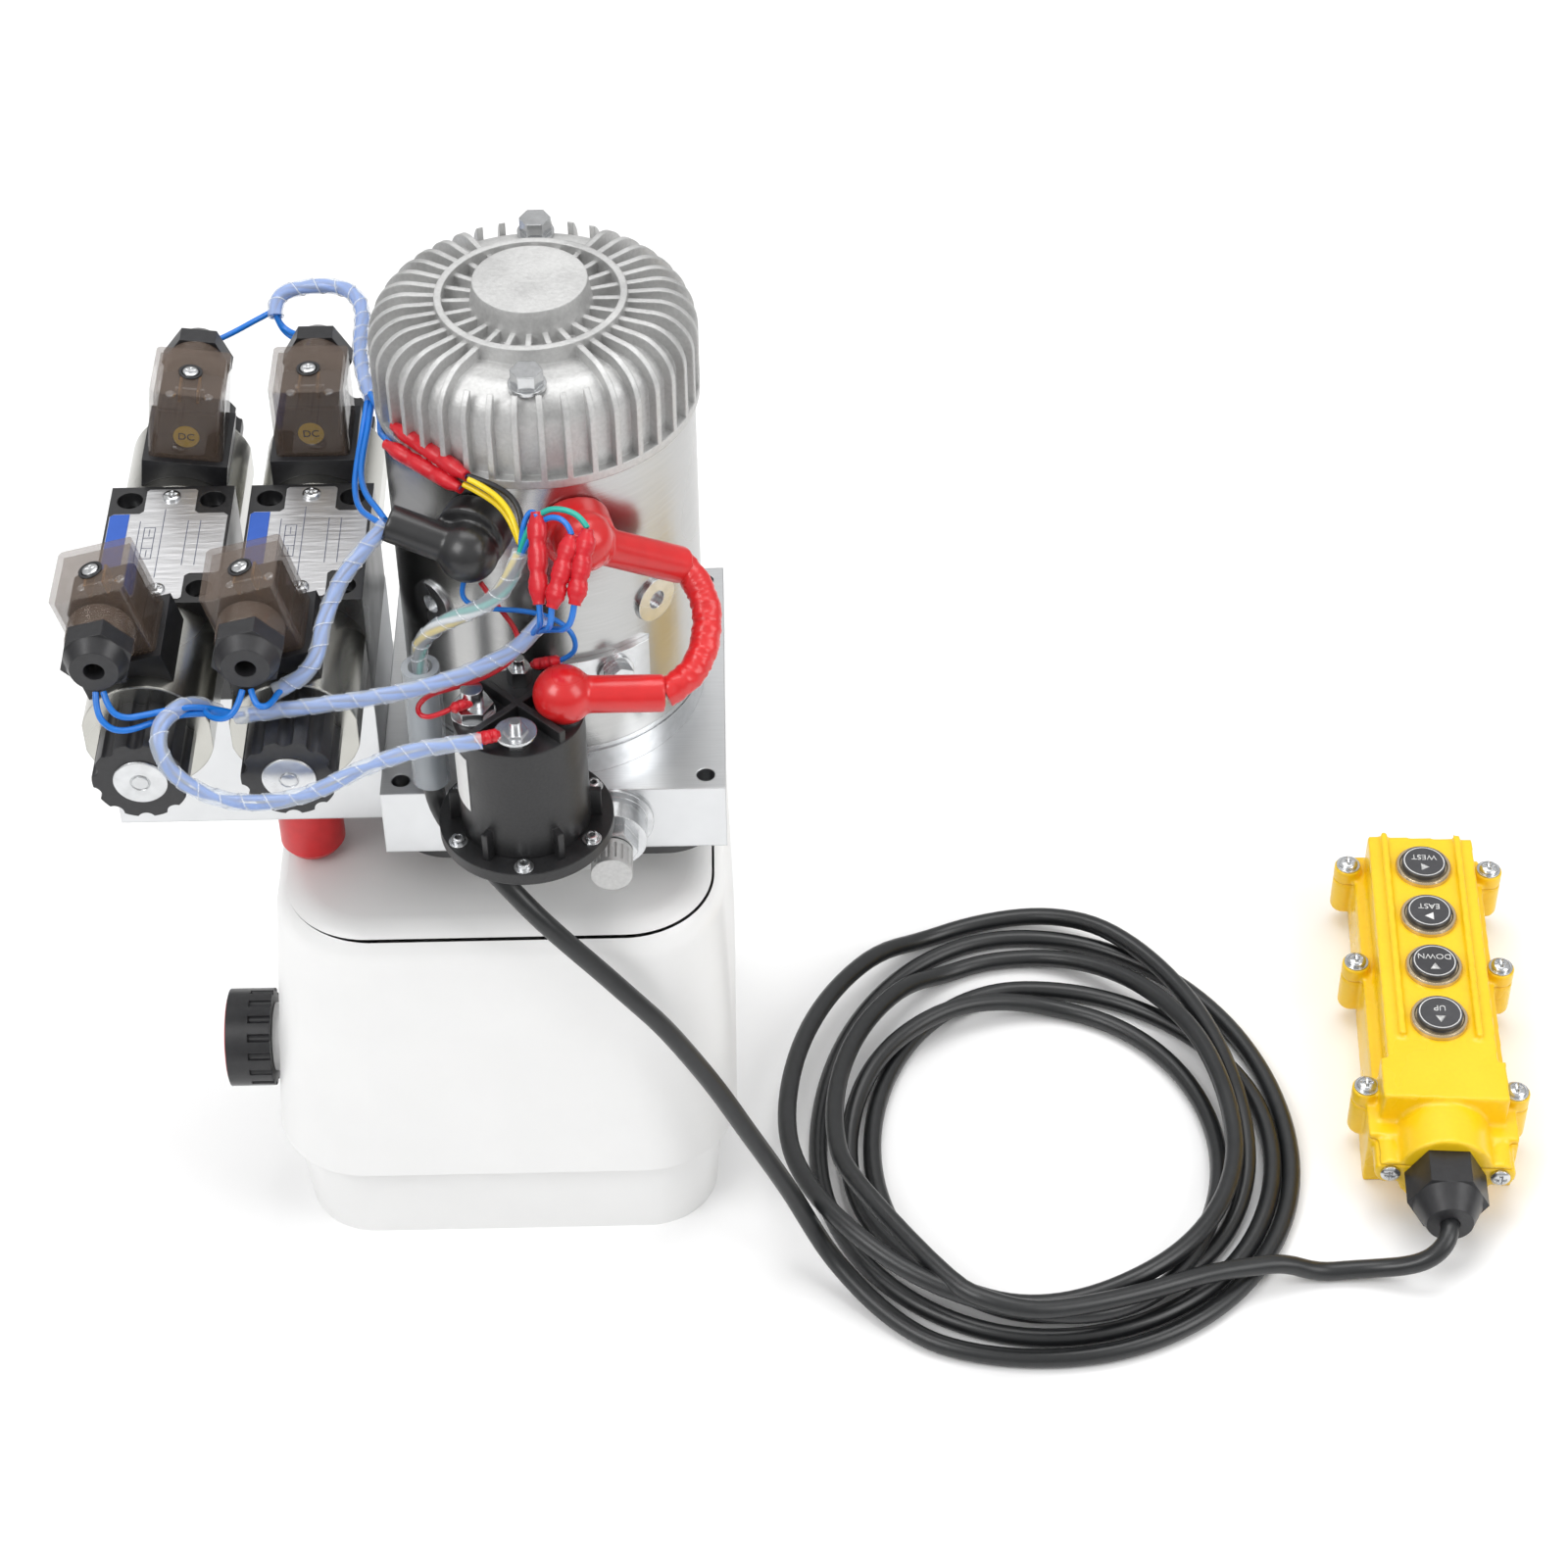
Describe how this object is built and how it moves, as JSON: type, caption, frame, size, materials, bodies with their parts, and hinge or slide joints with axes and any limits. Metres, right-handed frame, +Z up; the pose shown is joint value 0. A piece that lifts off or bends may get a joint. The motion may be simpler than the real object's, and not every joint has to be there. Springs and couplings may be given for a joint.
{
  "type": "hydraulic power unit",
  "caption": "Compact hydraulic power unit: plastic tank, DC motor and gear pump, starter relay, solenoid valves on a side manifold, and a corded push-button pendant.",
  "frame": {"origin": "where the motor's axis meets the plane of the tank's foot", "axes": "+Z up along the motor's axis, -X towards the valves, -Y towards the relay and the relief valve, +X towards the pendant"},
  "size_m": [0.5763, 0.2722, 0.415],
  "materials": {
    "tank_plastic": "translucent white",
    "black_plastic": "moulded",
    "black_rubber": "moulded rubber",
    "red_rubber": "moulded rubber",
    "white_label": "blank label",
    "milled_aluminium": "milled",
    "cast_aluminium": "bead blasted",
    "zinc_steel": "zinc plated",
    "black_paint": "semi-gloss paint",
    "motor_steel": "zinc plated and brushed",
    "coil_case": "zinc plated",
    "smoke_plastic": "smoked clear plastic",
    "relay_body": "moulded",
    "yellow_plastic": "moulded",
    "red_plastic": "moulded",
    "button_face": "printed disc in a metal ring",
    "cable_rubber": "satin jacket",
    "wrap_plastic": "milky spiral wrap",
    "wire_blue": "wire jacket",
    "wire_red": "wire jacket",
    "wire_yellow": "wire jacket",
    "wire_green": "wire jacket",
    "brass": "turned",
    "iron": "machined",
    "copper_winding": "wound",
    "steel_shaft": "ground"
  },
  "bodies": {
    "base": {"tank": "tank_plastic", "tank_seal": "black_rubber", "pump_block": "milled_aluminium", "pump_body": "milled_aluminium", "pump_cover": "milled_aluminium", "pump_bolts": "zinc_steel", "suction_strainer": "zinc_steel", "port_plug": "red_plastic", "relief_valve_body": "zinc_steel", "motor_flange": "zinc_steel", "motor_housing": "motor_steel", "motor_screws": "zinc_steel", "motor_end_cap": "cast_aluminium", "motor_bearings": "steel_shaft", "field_poles": "iron", "brush_gear": "copper_winding", "valve_manifold": "milled_aluminium", "valve_body_left": "black_paint", "valve_body_right": "black_paint", "valve_bolts": "zinc_steel", "core_tubes": "zinc_steel", "solenoid_coils": "coil_case", "coil_nuts": "black_plastic", "connector_bases": "black_plastic", "connector_covers": "smoke_plastic", "connector_glands": "black_plastic", "relay_base": "relay_body", "relay_body": "relay_body", "relay_terminals": "zinc_steel", "relay_bracket": "zinc_steel", "pendant_base": "yellow_plastic", "pendant_cover": "yellow_plastic", "contact_blocks": "black_plastic", "pendant_gland": "black_plastic", "pendant_screws": "zinc_steel", "power_cable": "red_rubber", "terminal_boot_black": "black_rubber", "terminal_boots_red": "red_rubber", "cable_sleeve": "wrap_plastic", "cable_lead": "cable_rubber", "cable_tail": "cable_rubber", "cable_coil": "cable_rubber", "wire_looms": "wrap_plastic"},
    "rotor": {"armature": "copper_winding", "motor_shaft": "steel_shaft", "shaft_coupling": "steel_shaft", "drive_gear": "steel_shaft"},
    "driven_gear": {"driven_gear": "steel_shaft"},
    "spool_left": {"spool_left": "steel_shaft"},
    "spool_right": {"spool_right": "steel_shaft"},
    "relay_plunger": {"relay_plunger": "iron"},
    "relief_poppet": {"relief_poppet": "steel_shaft"},
    "relief_cap": {"relief_valve_cap": "cast_aluminium"},
    "filler_cap": {"filler_cap": "black_plastic"},
    "button_up": {"button_up": "button_face"},
    "button_down": {"button_down": "button_face"},
    "button_east": {"button_east": "button_face"},
    "button_west": {"button_west": "button_face"}
  },
  "joints": [
    {"name": "rotor_spin", "type": "hinge", "parent": "base", "child": "rotor", "pos_m": [0, 0, 0.26], "axis": [0, 0, 1], "continuous": true},
    {"name": "driven_gear_spin", "type": "hinge", "parent": "base", "child": "driven_gear", "pos_m": [0.024, 0, 0.178], "axis": [0, 0, 1], "continuous": true},
    {"name": "relay_plunger_slide", "type": "slide", "parent": "base", "child": "relay_plunger", "axis": [0, 0, 1], "range_m": [0, 0.0025], "stiffness_N_per_m": 800},
    {"name": "relief_poppet_slide", "type": "slide", "parent": "base", "child": "relief_poppet", "axis": [0, -1, 0], "range_m": [0, 0.002], "stiffness_N_per_m": 6000},
    {"name": "relief_cap_turn", "type": "hinge", "parent": "base", "child": "relief_cap", "pos_m": [0.022, -0.09, 0.213], "axis": [0, 1, 0], "range_deg": [-180, 180]},
    {"name": "filler_cap_turn", "type": "hinge", "parent": "base", "child": "filler_cap", "pos_m": [-0.13, -0.04, 0.07], "axis": [-1, 0, 0], "range_deg": [0, 360]},
    {"name": "spool_left_slide", "type": "slide", "parent": "base", "child": "spool_left", "axis": [0, 1, 0], "range_m": [-0.003, 0.003], "stiffness_N_per_m": 1500},
    {"name": "spool_right_slide", "type": "slide", "parent": "base", "child": "spool_right", "axis": [0, 1, 0], "range_m": [-0.003, 0.003], "stiffness_N_per_m": 1500},
    {"name": "button_up_press", "type": "slide", "parent": "base", "child": "button_up", "axis": [0, 0, -1], "range_m": [0, 0.0035], "stiffness_N_per_m": 400},
    {"name": "button_down_press", "type": "slide", "parent": "base", "child": "button_down", "axis": [0, 0, -1], "range_m": [0, 0.0035], "stiffness_N_per_m": 400},
    {"name": "button_east_press", "type": "slide", "parent": "base", "child": "button_east", "axis": [0, 0, -1], "range_m": [0, 0.0035], "stiffness_N_per_m": 400},
    {"name": "button_west_press", "type": "slide", "parent": "base", "child": "button_west", "axis": [0, 0, -1], "range_m": [0, 0.0035], "stiffness_N_per_m": 400}
  ],
  "couplings": [
    {"joint": "driven_gear_spin", "follows": "rotor_spin", "ratio": -1}
  ]
}
